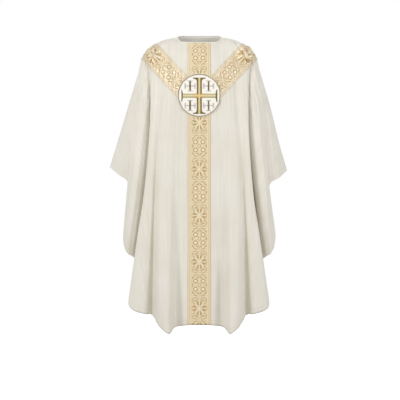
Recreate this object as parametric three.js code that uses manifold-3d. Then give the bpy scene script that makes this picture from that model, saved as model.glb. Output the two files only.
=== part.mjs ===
// A semi-Gothic chasuble, in millimetres, as it hangs on a wearer whose arms are lowered.
// Origin: midway between the two high shoulder points, in the plane of the shoulder seams.
// +Z is up, the front faces -Y, and +X is on the right of someone facing the front.
import * as THREE from "three";
import { mergeVertices } from "three/addons/utils/BufferGeometryUtils.js";
import Module from "manifold-3d";

const wasm = await Module();
wasm.setup();

// ---- Driving dimensions -------------------------------------------------------------------

const frontLength = 1258; // shoulder level down to the middle of the front hem
const backLength = 1256; // shoulder level down to the middle of the back hem
const neckHalfWidth = 104;
const neckFrontDepth = 86; // the neckline's reach forward of the shoulder seams
const neckFrontDrop = 30;
const neckBackDepth = 72;
const neckBackRise = 12;
const shoulderHalfWidth = 254;
const shoulderDrop = 105;
const sleeveReach = 394; // middle of the garment to the tip of the wing, arms lowered
const sleeveDrop = 571;
const chestDepth = 144; // front of the cloth, forward of the shoulder seams
const backDepth = 120;

const clothThickness = 2;
const sewnGap = 0.3; // between one layer of cloth and the next
const trimThickness = 1.2;
const facingThickness = 0.8;
const hemDepth = 25;
const neckFacingWidth = 55;
const neckBindingRadius = 2.4;

const columnWidth = 98;
const yokeBandWidth = 92;
const yokeBandAngle = 48; // of each upper band, from horizontal, in degrees
const yokeMeetingDrop = 306; // shoulder level down to where the two bands' middles meet
const medallionDiameter = 190;
const medallionDrop = 261; // shoulder level down to the medallion's middle
const medallionCordWidth = 5;
const greatCrossSpan = 156;
const greatCrossBar = 20;
const greatCrossFoot = 53; // length of the bar that closes each arm
const smallCrossSpan = 42;
const smallCrossBar = 6;
const smallCrossFoot = 19;
const smallCrossOffset = 40;
const embroideryHeight = 1.2;

const rowShares = [0, 0.04, 0.09, 0.16, 0.25, 0.36, 0.5, 0.65, 0.8, 0.92];
const columnsPerFold = [2, 2, 2, 2, 1, 2, 2, 2, 2, 2, 2, 1, 2, 2];

// ---- Fold lines -----------------------------------------------------------------------------
// Each line is a ridge or a valley of the draped cloth, from its root down to the hem.
// neck: degrees round the neckline from its middle; shoulder: degrees round the shoulder's curve.
// Its points are [across, out, down], in hundredths of the sleeve's reach, the body's depth and the length.

const frontFolds = [
  {
    name: "middle", neck: 0,
    line: [[0, 80, 7.2], [0, 94, 16], [0, 100, 40], [0, 104, 71], [0, 107, 100]],
  },
  {
    name: "band edge", neck: 28,
    line: [[12.4, 78, 7.2], [12.4, 93, 16], [12.4, 98, 40], [12.4, 101, 71], [12.4, 103, 100.1]],
  },
  {
    name: "inner hollow", neck: 54,
    line: [[22.4, 70, 7.2], [22, 90, 16], [22, 97, 40], [23, 96, 71], [26.4, 92, 100.8]],
  },
  {
    name: "great ridge", shoulder: 0,
    line: [[31.6, 36, 2.4], [28.6, 86, 16], [32.4, 102, 40], [34, 120, 71], [33.8, 143, 102.8]],
  },
  {
    name: "side ridge", shoulder: 16,
    line: [[36, 46, 3.2], [35.6, 85, 18], [40.6, 101, 40], [44.2, 119, 71], [43, 132, 100.6]],
  },
  {
    name: "side hollow", shoulder: 26,
    line: [[42.6, 44, 4], [41.2, 78, 20], [46.6, 87, 40], [50.6, 92, 71], [52.5, 81, 96.6]],
  },
  {
    name: "outer ridge", shoulder: 35,
    line: [[48.2, 43, 5], [49, 73, 18], [53.4, 93, 40], [57.4, 104, 71], [61, 104, 96.2]],
  },
  {
    name: "panel rim", shoulder: 44,
    line: [[52.8, 41, 6.2], [52.8, 69, 18], [54, 88, 34], [60, 96, 57], [66.4, 99, 71], [75.8, 95, 94]],
  },
  {
    name: "tuck", shoulder: 53,
    line: [
      [56.6, 36, 7.8], [55, 52, 18], [54, 52, 30], [55.6, 46, 44],
      [60, 38, 57], [64.5, 33, 70], [69, 32, 79],
    ],
  },
  {
    name: "wing root", shoulder: 58,
    line: [
      [59.2, 36, 8.4], [57.6, 58, 18], [58, 67, 28], [60.4, 70, 42],
      [64.6, 70, 54], [70, 69, 67], [74, 62, 76.4],
    ],
  },
  {
    name: "wing ridge", shoulder: 63,
    line: [[61.6, 36, 9], [64.4, 63, 26], [69.6, 74, 42], [75, 75, 56], [79, 67, 75.4]],
  },
  {
    name: "wing edge", shoulder: 68,
    line: [[63.4, 33, 9.6], [68.2, 55, 26], [74.4, 62, 42], [80, 57, 58], [84.6, 43, 70.3]],
  },
  {
    name: "cuff hollow", shoulder: 73,
    line: [[64.8, 29, 10.4], [72.6, 42, 26], [78.2, 47, 40], [79.4, 49, 50.7]],
  },
  {
    name: "cuff", shoulder: 79,
    line: [[66.6, 19, 12], [77.4, 30, 26], [84.6, 35, 37.5], [89.6, 38, 48.1]],
  },
];

const backFolds = [
  {
    name: "middle", neck: 0,
    line: [[0, 93, 6.2], [0, 102, 16], [0, 97, 39], [0, 106, 70], [0, 115, 100]],
  },
  {
    name: "band edge", neck: 28,
    line: [[12.4, 92, 6.2], [12.4, 101, 16], [12.4, 96, 39], [12.4, 105, 70], [12.4, 113, 100]],
  },
  {
    name: "inner hollow", neck: 54,
    line: [[22.4, 80, 6.4], [22.4, 98, 16], [22.8, 92, 39], [23.4, 97, 70], [25, 102, 100.1]],
  },
  {
    name: "great ridge", shoulder: 0,
    line: [[31.6, 42, 2.2], [28.4, 93, 15], [32, 103, 39], [34.6, 118, 70], [35, 136, 100.8]],
  },
  {
    name: "side ridge", shoulder: 16,
    line: [[36, 52, 3], [36.8, 90, 17], [41.6, 98, 39], [45.2, 107, 70], [46.2, 117, 99.2]],
  },
  {
    name: "side hollow", shoulder: 26,
    line: [[42.6, 50, 3.8], [43.6, 82, 19.5], [48.8, 84, 39], [52, 84, 70], [54.4, 78, 96.5]],
  },
  {
    name: "outer ridge", shoulder: 35,
    line: [[48.2, 48, 4.8], [49.2, 78, 18], [54.4, 93, 39], [58.8, 108, 70], [62.4, 113, 95.5]],
  },
  {
    name: "panel rim", shoulder: 44,
    line: [
      [52.8, 46, 6.2], [53.2, 75, 18], [56.8, 93, 41],
      [63.6, 103, 62], [69.4, 107, 78], [74, 102, 92.2],
    ],
  },
  {
    name: "tuck", shoulder: 53,
    line: [
      [56.8, 40, 7.6], [55.6, 56, 18], [54.6, 55, 31], [56.8, 48, 46],
      [61.4, 40, 60], [65.6, 36, 71], [69, 36, 78],
    ],
  },
  {
    name: "wing root", shoulder: 58,
    line: [
      [59.3, 40, 8.2], [58, 58, 18], [58.8, 68, 29], [61.4, 72, 43],
      [66, 74, 56], [70.6, 72, 68], [73.6, 64, 75.6],
    ],
  },
  {
    name: "wing ridge", shoulder: 63,
    line: [[61.6, 40, 8.6], [65.2, 67, 26], [71, 78, 42], [76.2, 78, 57], [79, 69, 74.6]],
  },
  {
    name: "wing edge", shoulder: 68,
    line: [[63.4, 36, 9.2], [68.4, 58, 26], [75, 66, 44], [80.8, 60, 59], [84.2, 46, 68.5]],
  },
  {
    name: "cuff hollow", shoulder: 73,
    line: [[64.8, 31, 10], [73, 45, 26], [78.8, 50, 39], [80, 52, 49.5]],
  },
  {
    name: "cuff", shoulder: 79,
    line: [[66.6, 21, 11.6], [77.6, 32, 26], [84.8, 37, 37], [90, 40, 46.8]],
  },
];

const front = {
  side: -1, depth: chestDepth, length: frontLength, folds: frontFolds,
  neckDepth: neckFrontDepth, neckHeight: -neckFrontDrop,
};
const back = {
  side: 1, depth: backDepth, length: backLength, folds: backFolds,
  neckDepth: neckBackDepth, neckHeight: neckBackRise,
};

// ---- The draped surface -----------------------------------------------------------------------

const radians = THREE.MathUtils.degToRad;

function neckPoint(panel, degrees) {
  const turn = radians(degrees);
  const middle = Math.sqrt(Math.cos(turn));
  return new THREE.Vector3(
    neckHalfWidth * Math.sin(turn),
    panel.side * panel.neckDepth * Math.cos(turn),
    panel.neckHeight * middle,
  );
}

function shoulderPoint(degrees) {
  const turn = radians(degrees);
  const width = shoulderHalfWidth - neckHalfWidth;
  const fall = (1 - Math.cos(turn)) ** 0.85; // a little fuller than a quarter ellipse
  return new THREE.Vector3(neckHalfWidth + width * Math.sin(turn), 0, -shoulderDrop * fall);
}

// One fold as a smooth curve from its root on the neckline or the shoulder down to the hem.
function foldCurve(panel, fold) {
  const root = fold.neck === undefined ? shoulderPoint(fold.shoulder) : neckPoint(panel, fold.neck);
  const below = fold.line.map(([across, out, down]) => new THREE.Vector3(
    (across / 100) * sleeveReach,
    panel.side * (out / 100) * panel.depth,
    (-down / 100) * panel.length,
  ));
  return new THREE.CatmullRomCurve3([root, ...below]);
}

// The seam of the wing runs straight down the arm, from the shoulder to the tip of the wing.
const armSeam = new THREE.LineCurve3(shoulderPoint(90), new THREE.Vector3(sleeveReach, 0, -sleeveDrop));

// The points of a panel's mid-surface: one row for each share of the way down, from side to side.
function drapedRows(panel) {
  const half = [...panel.folds.map((fold) => foldCurve(panel, fold)), armSeam];
  const aboveHem = (curve) => 1 - hemDepth / curve.getLength();
  const rows = [...rowShares.map((share) => () => share), aboveHem, () => 1];
  return rows.map((share) => {
    const right = half.map((curve) => curve.getPointAt(share(curve)));
    const left = right.slice(1).reverse().map((p) => new THREE.Vector3(-p.x, p.y, p.z));
    const across = new THREE.CatmullRomCurve3([...left, ...right]);
    return columnShares().map((at) => keepToItsSide(panel, across.getPoint(at)));
  });
}

// Where the columns of points stand, from 0 at the left seam to 1 at the right one.
function columnShares() {
  const right = [];
  columnsPerFold.forEach((count, fold) => {
    for (let i = 0; i < count; i++) right.push((fold + i / count) / columnsPerFold.length);
  });
  right.push(1);
  const left = right.slice(1).reverse().map((share) => 0.5 - share / 2);
  return [...left, ...right.map((share) => 0.5 + share / 2)];
}

// Both panels stop half the sewn gap short of the plane of the shoulder seams.
function keepToItsSide(panel, point) {
  const nearest = (panel.side * sewnGap) / 2;
  point.y = panel.side < 0 ? Math.min(point.y, nearest) : Math.max(point.y, nearest);
  return point;
}

// Unit normals of a grid of points, facing out of the garment.
function gridNormals(panel, rows) {
  const last = rows.length - 1;
  return rows.map((row, i) => row.map((_, j) => {
    const end = row.length - 1;
    const down = rows[Math.min(i + 1, last)][j].clone().sub(rows[Math.max(i - 1, 0)][j]);
    const across = row[Math.min(j + 1, end)].clone().sub(row[Math.max(j - 1, 0)]);
    return across.cross(down).multiplyScalar(panel.side).normalize();
  }));
}

// The closed solid between two offsets of a grid of points, measured outwards along its normals.
function layerSolid(panel, rows, normals, inner, outer) {
  const width = rows[0].length;
  const height = rows.length;
  const positions = [];
  for (const offset of [inner, outer]) {
    rows.forEach((row, i) => row.forEach((p, j) => {
      const moved = p.clone().addScaledVector(normals[i][j], offset);
      positions.push(...keepToItsSide(panel, moved).toArray());
    }));
  }
  const index = [];
  const at = (layer, i, j) => layer * width * height + i * width + j;
  const quad = (a, b, c, d) => index.push(a, b, c, a, c, d);
  const outside = panel.side < 0 ? 1 : 0;
  for (let i = 0; i + 1 < height; i++) {
    for (let j = 0; j + 1 < width; j++) {
      quad(at(outside, i, j), at(outside, i + 1, j), at(outside, i + 1, j + 1), at(outside, i, j + 1));
      const other = 1 - outside;
      quad(at(other, i, j), at(other, i, j + 1), at(other, i + 1, j + 1), at(other, i + 1, j));
    }
  }
  const rim = [];
  for (let j = 0; j < width; j++) rim.push([0, j]);
  for (let i = 1; i < height; i++) rim.push([i, width - 1]);
  for (let j = width - 2; j >= 0; j--) rim.push([height - 1, j]);
  for (let i = height - 2; i > 0; i--) rim.push([i, 0]);
  rim.forEach(([i, j], k) => {
    const [ni, nj] = rim[(k + 1) % rim.length];
    quad(at(outside, i, j), at(outside, ni, nj), at(1 - outside, ni, nj), at(1 - outside, i, j));
  });
  const geometry = new THREE.BufferGeometry();
  geometry.setAttribute("position", new THREE.Float32BufferAttribute(positions, 3));
  geometry.setIndex(index);
  return geometry;
}

// ---- Joining and cutting ------------------------------------------------------------------------

function solidOf(geometry) {
  const bare = geometry.clone();
  bare.deleteAttribute("normal");
  bare.deleteAttribute("uv");
  const merged = mergeVertices(bare, 1e-3);
  return new wasm.Manifold(new wasm.Mesh({
    numProp: 3,
    vertProperties: new Float32Array(merged.attributes.position.array),
    triVerts: new Uint32Array(merged.index.array),
  }));
}

function geometryOf(solid) {
  const made = solid.getMesh();
  const geometry = new THREE.BufferGeometry();
  const positions = new Float32Array(made.numVert * 3);
  for (let i = 0; i < made.numVert; i++) {
    positions.set(made.vertProperties.subarray(i * made.numProp, i * made.numProp + 3), i * 3);
  }
  geometry.setAttribute("position", new THREE.BufferAttribute(positions, 3));
  geometry.setIndex(new THREE.BufferAttribute(new Uint32Array(made.triVerts), 1));
  return geometry;
}

// A flat outline, drawn as seen from the front in X and Z, cut right through the front or the back panel.
function cutter(panel, shape) {
  const deep = 2 * panel.depth;
  const geometry = new THREE.ExtrudeGeometry(shape, { depth: deep, bevelEnabled: false, curveSegments: 24 });
  geometry.rotateX(Math.PI / 2);
  geometry.translate(0, panel.side < 0 ? 0 : deep, 0);
  return solidOf(geometry);
}

function polygon(points) {
  return new THREE.Shape(points.map(([x, z]) => new THREE.Vector2(x, z)));
}

function rectangle(width, height, x = 0, z = 0) {
  const [w, h] = [width / 2, height / 2];
  return polygon([[x - w, z - h], [x + w, z - h], [x + w, z + h], [x - w, z + h]]);
}

// ---- Sub-parts ------------------------------------------------------------------------------------

function fabric(color, roughness, metalness = 0) {
  return new THREE.MeshStandardMaterial({ color, roughness, metalness });
}

const ivoryCloth = fabric(0xe9e4d6, 0.75);
const ivoryFacing = fabric(0xe4dece, 0.8);
const goldBrocade = fabric(0xd9c08e, 0.55, 0.1);
const whiteSatin = fabric(0xf7f3ea, 0.45);
const goldCord = fabric(0xa8894a, 0.5, 0.3);
const goldThread = fabric(0xc9a253, 0.45, 0.3);
const bronzeThread = fabric(0x7d7440, 0.5, 0.2);

const chasuble = new THREE.Group();

function add(name, geometry, material) {
  const mesh = new THREE.Mesh(geometry, material);
  mesh.name = name;
  chasuble.add(mesh);
}

for (const panel of [front, back]) {
  panel.rows = drapedRows(panel);
  panel.normals = gridNormals(panel, panel.rows);
  panel.layer = (inner, outer) => layerSolid(panel, panel.rows, panel.normals, inner, outer);
  panel.face = clothThickness / 2;
  panel.trim = solidOf(panel.layer(panel.face + sewnGap, panel.face + sewnGap + trimThickness));
}

// The front and the back panel, which meet at the seams of the shoulders and wings.
add("front_panel", front.layer(-front.face, front.face), ivoryCloth);
add("back_panel", back.layer(-back.face, back.face), ivoryCloth);

// A strip of cloth turned up inside each hem, ending short of the seams of the wings.
function hemFacing(panel) {
  const inside = -panel.face - sewnGap;
  const strip = (grid) => grid.slice(-2).map((row) => row.slice(1, -1));
  return layerSolid(panel, strip(panel.rows), strip(panel.normals), inside - facingThickness, inside);
}

add("front_hem_facing", hemFacing(front), ivoryFacing);
add("back_hem_facing", hemFacing(back), ivoryFacing);

// A shaped facing inside the neckline of each panel.
function neckFacing(panel) {
  const outline = new THREE.Shape();
  const [x, y] = [neckHalfWidth + neckFacingWidth, panel.neckDepth + neckFacingWidth];
  outline.absellipse(0, 0, x, y, 0, 2 * Math.PI);
  // The cut reaches from well above the neckline to well below the shoulders.
  const [above, below] = [0.4 * shoulderDrop, 1.6 * shoulderDrop];
  const settings = { depth: above + below, bevelEnabled: false, curveSegments: 16 };
  const around = new THREE.ExtrudeGeometry(outline, settings);
  around.translate(0, 0, -below);
  const inside = -panel.face - sewnGap;
  const lining = solidOf(panel.layer(inside - facingThickness, inside));
  return geometryOf(lining.intersect(solidOf(around)));
}

add("front_neck_facing", neckFacing(front), ivoryFacing);
add("back_neck_facing", neckFacing(back), ivoryFacing);

// The rolled binding round the neck opening, seated against the cut edge of both panels.
function neckBinding() {
  const foldsOnNeck = front.folds.filter((fold) => fold.neck !== undefined).length;
  const reach = columnsPerFold.slice(0, foldsOnNeck).reduce((sum, count) => sum + count);
  const edge = (panel) => {
    const middle = (panel.rows[0].length - 1) / 2;
    const seats = [];
    for (let j = middle - reach; j <= middle + reach; j++) {
      seats.push({ point: panel.rows[0][j], normal: panel.normals[0][j] });
    }
    return seats;
  };
  const ring = [...edge(front), ...edge(back).reverse().slice(1, -1)];
  const seated = ring.map(({ point, normal }, k) => {
    const next = ring[(k + 1) % ring.length].point;
    const previous = ring[(k + ring.length - 1) % ring.length].point;
    const along = next.clone().sub(previous);
    const inward = normal.clone().cross(along).normalize();
    return point.clone().addScaledVector(inward, neckBindingRadius + 3 * sewnGap);
  });
  const straightBetweenSeats = new THREE.CatmullRomCurve3(seated, true, "catmullrom", 0);
  return new THREE.TubeGeometry(straightBetweenSeats, 2 * seated.length, neckBindingRadius, 6, true);
}

add("neck_binding", neckBinding(), ivoryFacing);

// The column orphrey runs down the middle of each panel, from the neckline to the hem.
const columnHeight = 3 * frontLength;
const columnOutline = rectangle(columnWidth, columnHeight);

for (const [panel, name] of [[front, "front"], [back, "back"]]) {
  add(`${name}_column_orphrey`, geometryOf(panel.trim.intersect(cutter(panel, columnOutline))), goldBrocade);
}

// The Y's upper bands run from the column up over the shoulders.
function yokeBandOutline(hand) {
  const along = new THREE.Vector2(Math.cos(radians(yokeBandAngle)), Math.sin(radians(yokeBandAngle)));
  const beside = new THREE.Vector2(-along.y, along.x).multiplyScalar(yokeBandWidth / 2);
  const foot = new THREE.Vector2(0, -yokeMeetingDrop);
  const head = foot.clone().addScaledVector(along, 2 * shoulderHalfWidth);
  const corners = [
    foot.clone().sub(beside), head.clone().sub(beside), head.clone().add(beside), foot.clone().add(beside),
  ];
  return polygon(corners.map((p) => [hand * p.x, p.y]));
}

for (const [panel, name] of [[front, "front"], [back, "back"]]) {
  const column = cutter(panel, rectangle(columnWidth + 2 * sewnGap, columnHeight));
  const clearOfColumn = panel.trim.subtract(column);
  for (const [hand, side] of [[-1, "left"], [1, "right"]]) {
    const half = cutter(panel, rectangle(sleeveReach * 2, columnHeight, hand * sleeveReach));
    const band = clearOfColumn.intersect(half).intersect(cutter(panel, yokeBandOutline(hand)));
    add(`${name}_${side}_yoke_orphrey`, geometryOf(band), goldBrocade);
  }
}

// The medallion is sewn over the crossing of the bands: a satin disc, its cord and the embroidery.
const medallionFoot = front.face + 2 * sewnGap + trimThickness;
const medallionLayer = (foot, height) => solidOf(front.layer(foot, foot + height));

function disc(radius) {
  const shape = new THREE.Shape();
  shape.absarc(0, -medallionDrop, radius, 0, 2 * Math.PI);
  return cutter(front, shape);
}

const medallionRadius = medallionDiameter / 2;
const groundDisc = disc(medallionRadius - medallionCordWidth - sewnGap);
const ground = medallionLayer(medallionFoot, trimThickness).intersect(groundDisc);
const cordRing = disc(medallionRadius).subtract(disc(medallionRadius - medallionCordWidth));
add("medallion_ground", geometryOf(ground), whiteSatin);
const cordHeight = trimThickness + embroideryHeight;
add("medallion_cord", geometryOf(medallionLayer(medallionFoot, cordHeight).intersect(cordRing)), goldCord);

// A cross whose four arms end in short bars.
function crossOutline(span, bar, foot, footBar, x, z) {
  const [s, b, f, t] = [span / 2, bar / 2, foot / 2, footBar];
  const arm = [[b, b], [s - t, b], [s - t, f], [s, f], [s, -f], [s - t, -f], [s - t, -b], [b, -b]];
  const points = [];
  for (let quarter = 0; quarter < 4; quarter++) {
    const turn = (-quarter * Math.PI) / 2;
    const [c, n] = [Math.round(Math.cos(turn)), Math.round(Math.sin(turn))];
    for (const [px, pz] of arm.slice(0, -1)) points.push([x + c * px - n * pz, z + n * px + c * pz]);
  }
  return polygon(points);
}

const threads = medallionLayer(medallionFoot + trimThickness + sewnGap, embroideryHeight);
const greatCross = crossOutline(
  greatCrossSpan, greatCrossBar, greatCrossFoot, greatCrossBar / 4, 0, -medallionDrop,
);
add("great_cross", geometryOf(threads.intersect(cutter(front, greatCross))), goldThread);

for (const [dx, left] of [[-1, "left"], [1, "right"]]) {
  for (const [dz, upper] of [[1, "upper"], [-1, "lower"]]) {
    const small = crossOutline(
      smallCrossSpan, smallCrossBar, smallCrossFoot, smallCrossBar / 2,
      dx * smallCrossOffset, dz * smallCrossOffset - medallionDrop,
    );
    add(`${upper}_${left}_small_cross`, geometryOf(threads.intersect(cutter(front, small))), bronzeThread);
  }
}

export default chasuble;
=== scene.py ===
import math

import bmesh
import bpy
import numpy as np
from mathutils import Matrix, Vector, noise
from mathutils.bvhtree import BVHTree


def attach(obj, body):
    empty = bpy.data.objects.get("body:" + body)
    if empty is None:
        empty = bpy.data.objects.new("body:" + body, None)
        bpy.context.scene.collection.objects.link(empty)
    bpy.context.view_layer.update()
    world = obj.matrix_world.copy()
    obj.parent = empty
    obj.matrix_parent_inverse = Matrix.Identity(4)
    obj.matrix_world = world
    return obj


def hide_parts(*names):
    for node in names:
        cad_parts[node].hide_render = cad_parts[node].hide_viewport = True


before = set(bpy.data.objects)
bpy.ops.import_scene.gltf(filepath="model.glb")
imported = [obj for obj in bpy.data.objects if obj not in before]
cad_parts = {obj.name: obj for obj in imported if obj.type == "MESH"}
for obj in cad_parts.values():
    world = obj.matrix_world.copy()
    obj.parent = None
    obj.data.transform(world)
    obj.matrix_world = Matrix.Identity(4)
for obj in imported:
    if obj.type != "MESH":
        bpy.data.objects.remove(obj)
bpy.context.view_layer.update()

# ---- Front and back panels ------------------------------------------------------------------
# The chasuble's body is two broad half-ovals of cream cloth, sewn to each other along the shoulders
# and wings. On a wearer with lowered arms each one drops into deep folds that fan from the shoulder.

NECK_HALF_WIDTH = 0.104
SHOULDER_HALF_WIDTH = 0.254
SHOULDER_DROP = 0.105
SLEEVE_REACH = 0.394
SLEEVE_DROP = 0.571
SEAM_GAP = 0.0003
CLOTH_THICKNESS = 0.0014
# The pleats that crush the point of the shoulder: each one's place out from the neck, and the widths
# of its inner and its outer flank.
PLEATS = [(0.1305, 0.013, 0.005), (0.1480, 0.015, 0.006), (0.1700, 0.018, 0.008)]
PLEAT_HEIGHT = 0.018
PLEAT_LEAN = 0.008
PLEAT_OUT, PLEAT_UP = 0.894, 0.447  # the way that they lean, 1 up for 2 out
SHOULDER_POINT = (0.188, -0.086)
WING_FOLD_SPACING = 0.0175
WING_FOLD_HEIGHT = 0.0022
LONG_FOLD_HEIGHT = 0.0036
NARROW_FOLD_HEIGHT = 0.0022
CREASE_HEIGHT = 0.003  # at the neckline, and more by CREASE_GROWTH at the hem
CREASE_GROWTH = 0.005
TIGHTEST_RIPPLE = 0.025  # a fold bent tighter than this has no room for small ones
COLUMNS_PER_FOLD = 9
ROWS = 176

# Each fold runs from its root to the hem. Its root is in degrees, round the neckline or round the
# shoulder's curve. Its points are [across, out, down], in hundredths of the sleeve's reach, the
# body's depth and the panel's length.
FRONT_FOLDS = [
    ("neck", 0, [[0, 80, 7.2], [0, 94, 16], [0, 100, 40], [0, 104, 71], [0, 107, 100]]),
    ("neck", 28, [[12.4, 78, 7.2], [12.4, 93, 16], [12.4, 98, 40], [12.4, 101, 71], [12.4, 103, 100.1]]),
    ("neck", 54, [[22.4, 70, 7.2], [22, 90, 16], [22, 97, 40], [23, 96, 71], [26.4, 92, 100.8]]),
    ("shoulder", 0, [[31.6, 36, 2.4], [28.6, 86, 16], [32.4, 102, 40], [34, 120, 71], [33.8, 143, 102.8]]),
    ("shoulder", 16, [[36, 46, 3.2], [35.6, 85, 18], [40.6, 101, 40], [44.2, 119, 71], [43, 132, 100.6]]),
    ("shoulder", 26, [[42.6, 44, 4], [41.2, 78, 20], [46.6, 87, 40], [50.6, 92, 71], [52.5, 81, 96.6]]),
    ("shoulder", 35, [[48.2, 43, 5], [49, 73, 18], [53.4, 93, 40], [57.4, 104, 71], [61, 104, 96.2]]),
    ("shoulder", 44, [[52.8, 41, 6.2], [52.8, 69, 18], [54, 88, 34],
                      [60, 96, 57], [66.4, 99, 71], [75.8, 95, 94]]),
    ("shoulder", 53, [[56.6, 36, 7.8], [55, 52, 18], [54, 52, 30], [55.6, 46, 44],
                      [60, 38, 57], [64.5, 33, 70], [69, 32, 79]]),
    ("shoulder", 58, [[59.2, 36, 8.4], [57.6, 58, 18], [58, 67, 28], [60.4, 70, 42],
                      [64.6, 70, 54], [70, 69, 67], [74, 62, 76.4]]),
    ("shoulder", 63, [[61.6, 36, 9], [64.4, 63, 26], [69.6, 74, 42], [75, 75, 56], [79, 67, 75.4]]),
    ("shoulder", 68, [[63.4, 33, 9.6], [68.2, 55, 26], [74.4, 62, 42], [80, 57, 58], [84.6, 43, 70.3]]),
    ("shoulder", 73, [[64.8, 29, 10.4], [72.6, 42, 26], [78.2, 47, 40], [79.4, 49, 50.7]]),
    ("shoulder", 79, [[66.6, 19, 12], [77.4, 30, 26], [84.6, 35, 37.5], [89.6, 38, 48.1]]),
]
BACK_FOLDS = [
    ("neck", 0, [[0, 93, 6.2], [0, 102, 16], [0, 97, 39], [0, 106, 70], [0, 115, 100]]),
    ("neck", 28, [[12.4, 92, 6.2], [12.4, 101, 16], [12.4, 96, 39], [12.4, 105, 70], [12.4, 113, 100]]),
    ("neck", 54, [[22.4, 80, 6.4], [22.4, 98, 16], [22.8, 92, 39], [23.4, 97, 70], [25, 102, 100.1]]),
    ("shoulder", 0, [[31.6, 42, 2.2], [28.4, 93, 15], [32, 103, 39], [34.6, 118, 70], [35, 136, 100.8]]),
    ("shoulder", 16, [[36, 52, 3], [36.8, 90, 17], [41.6, 98, 39], [45.2, 107, 70], [46.2, 117, 99.2]]),
    ("shoulder", 26, [[42.6, 50, 3.8], [43.6, 82, 19.5], [48.8, 84, 39], [52, 84, 70], [54.4, 78, 96.5]]),
    ("shoulder", 35, [[48.2, 48, 4.8], [49.2, 78, 18], [54.4, 93, 39], [58.8, 108, 70], [62.4, 113, 95.5]]),
    ("shoulder", 44, [[52.8, 46, 6.2], [53.2, 75, 18], [56.8, 93, 41],
                      [63.6, 103, 62], [69.4, 107, 78], [74, 102, 92.2]]),
    ("shoulder", 53, [[56.8, 40, 7.6], [55.6, 56, 18], [54.6, 55, 31], [56.8, 48, 46],
                      [61.4, 40, 60], [65.6, 36, 71], [69, 36, 78]]),
    ("shoulder", 58, [[59.3, 40, 8.2], [58, 58, 18], [58.8, 68, 29], [61.4, 72, 43],
                      [66, 74, 56], [70.6, 72, 68], [73.6, 64, 75.6]]),
    ("shoulder", 63, [[61.6, 40, 8.6], [65.2, 67, 26], [71, 78, 42], [76.2, 78, 57], [79, 69, 74.6]]),
    ("shoulder", 68, [[63.4, 36, 9.2], [68.4, 58, 26], [75, 66, 44], [80.8, 60, 59], [84.2, 46, 68.5]]),
    ("shoulder", 73, [[64.8, 31, 10], [73, 45, 26], [78.8, 50, 39], [80, 52, 49.5]]),
    ("shoulder", 79, [[66.6, 21, 11.6], [77.6, 32, 26], [84.8, 37, 37], [90, 40, 46.8]]),
]
PANELS = {
    "front": {"side": -1, "folds": FRONT_FOLDS, "depth": 0.144, "length": 1.258, "neck": (0.086, -0.030)},
    "back": {"side": 1, "folds": BACK_FOLDS, "depth": 0.120, "length": 1.256, "neck": (0.072, 0.012)},
}


def smooth_line(points, at):
    """A smooth curve through points, an array (..., n, 3), read at the places in at, from 0 to n - 1."""
    points = np.asarray(points, float)
    before = 2 * points[..., :1, :] - points[..., 1:2, :]
    after = 2 * points[..., -1:, :] - points[..., -2:-1, :]
    held = np.concatenate([before, points, after], axis=-2)
    at = np.asarray(at, float)
    span = np.minimum(at.astype(int), points.shape[-2] - 2)
    w = (at - span)[:, None]
    a, b, c, d = (held[..., span + k, :] for k in range(4))
    ab, bc, cd = (
        np.maximum(np.linalg.norm(q - p, axis=-1, keepdims=True), 1e-9) ** 0.5
        for p, q in ((a, b), (b, c), (c, d))
    )
    leaving = ((b - a) / ab - (c - a) / (ab + bc) + (c - b) / bc) * bc
    arriving = ((c - b) / bc - (d - b) / (bc + cd) + (d - c) / cd) * bc
    return (
        (2 * w**3 - 3 * w**2 + 1) * b
        + (w**3 - 2 * w**2 + w) * leaving
        + (3 * w**2 - 2 * w**3) * c
        + (w**3 - w**2) * arriving
    )


def running_length(points, axis):
    """How far along the cloth each point of a grid lies from the grid's first point on that axis."""
    steps = np.linalg.norm(np.diff(points, axis=axis), axis=-1)
    start = np.zeros_like(np.take(steps, [0], axis=axis))
    return np.concatenate([start, np.cumsum(steps, axis=axis)], axis=axis)


def evenly(points, shares):
    """A smooth curve through points, read at shares of its length."""
    dense = smooth_line(points, np.linspace(0, len(points) - 1, 400))
    run = running_length(dense, 0)
    return np.stack([np.interp(shares * run[-1], run, dense[:, k]) for k in range(3)], axis=1)


def step(low, high, value):
    """0 below low, 1 above high, and smooth between."""
    t = np.clip((value - low) / (high - low), 0, 1)
    return t * t * (3 - 2 * t)


def fold_root(panel, kind, degrees):
    turn = math.radians(degrees)
    if kind == "neck":
        depth, height = panel["neck"]
        return [
            NECK_HALF_WIDTH * math.sin(turn),
            panel["side"] * depth * math.cos(turn),
            height * math.sqrt(math.cos(turn)),
        ]
    width = SHOULDER_HALF_WIDTH - NECK_HALF_WIDTH
    return [NECK_HALF_WIDTH + width * math.sin(turn), 0, -SHOULDER_DROP * (1 - math.cos(turn)) ** 0.85]


def keep_to_its_side(panel, points):
    """The front stays in front of the seams and the back behind them."""
    limit = panel["side"] * SEAM_GAP / 2
    points[..., 1] = (
        np.minimum(points[..., 1], limit) if panel["side"] < 0 else np.maximum(points[..., 1], limit)
    )
    return points


def grid_normals(panel, grid):
    across = np.gradient(grid, axis=1)
    down = np.gradient(grid, axis=0)
    normals = np.cross(across, down) * panel["side"]
    return normals / np.maximum(np.linalg.norm(normals, axis=-1, keepdims=True), 1e-12)


def hang_unevenly(points):
    """The garment's right wing hangs a little lower and closer in than its left one."""
    x, z = points[..., 0], points[..., 2]
    on_wing = step(0.20, 0.36, x) * step(-0.25, -0.50, z) * step(-1.0, -0.7, z)
    points[..., 0] -= 0.007 * on_wing
    points[..., 2] -= 0.014 * on_wing
    return points


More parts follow.
